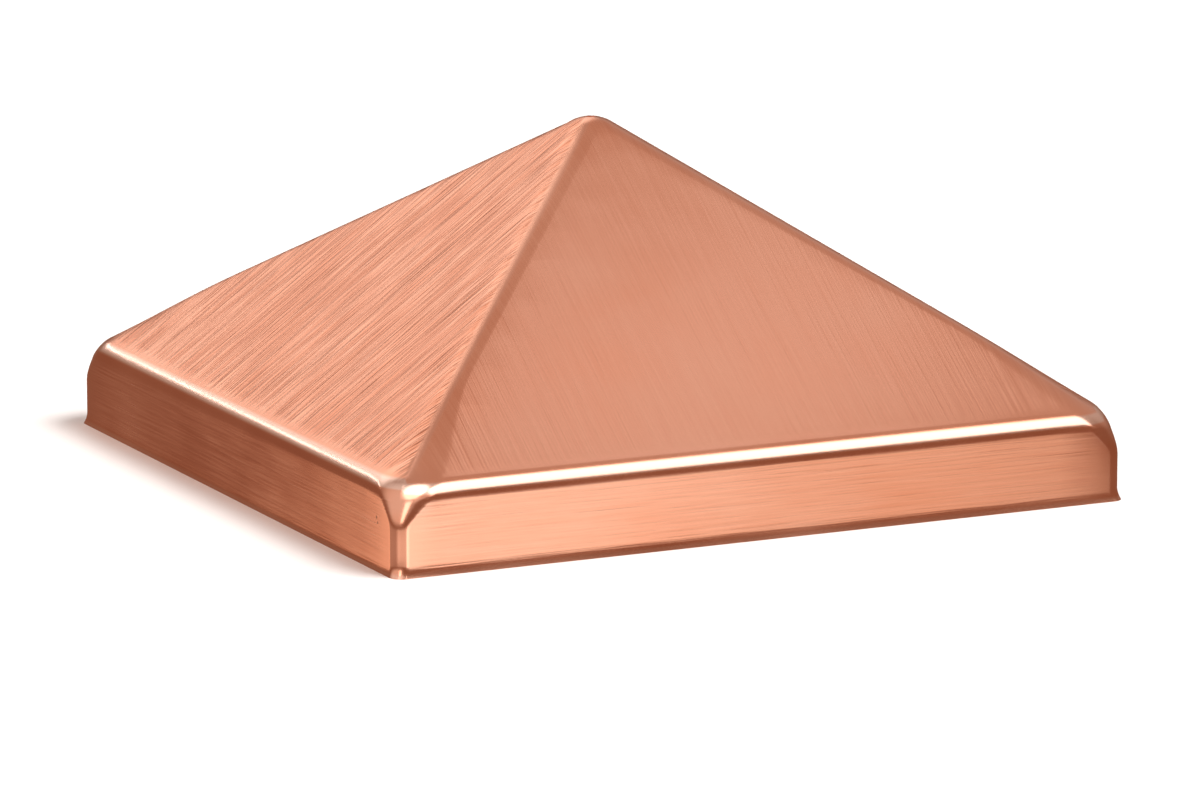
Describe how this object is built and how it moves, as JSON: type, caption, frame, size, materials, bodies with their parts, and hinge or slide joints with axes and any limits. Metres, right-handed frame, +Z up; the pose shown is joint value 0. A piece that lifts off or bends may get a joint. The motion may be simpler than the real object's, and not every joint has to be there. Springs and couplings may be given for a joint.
{
  "type": "fence post cap",
  "caption": "Square pyramid cap pressed from brushed copper sheet, with a short upright skirt and a slightly flared rim, that covers the end of a square timber fence post.",
  "frame": {"origin": "Centre of the open rim, in the plane of the sheet's cut edge.", "axes": "+Z points up to the apex; +X points to the right slope and +Y to the back slope. The cap is the same on all four sides."},
  "size_m": [0.0976, 0.0976, 0.0434],
  "materials": {
    "copper": "brushed satin copper",
    "foam": "matte closed-cell foam"
  },
  "bodies": {
    "root": {"cap_shell": "copper", "pad_right_back": "foam", "pad_right_front": "foam", "pad_back_left": "foam", "pad_back_right": "foam", "pad_left_front": "foam", "pad_left_back": "foam", "pad_front_right": "foam", "pad_front_left": "foam"}
  },
  "joints": []
}
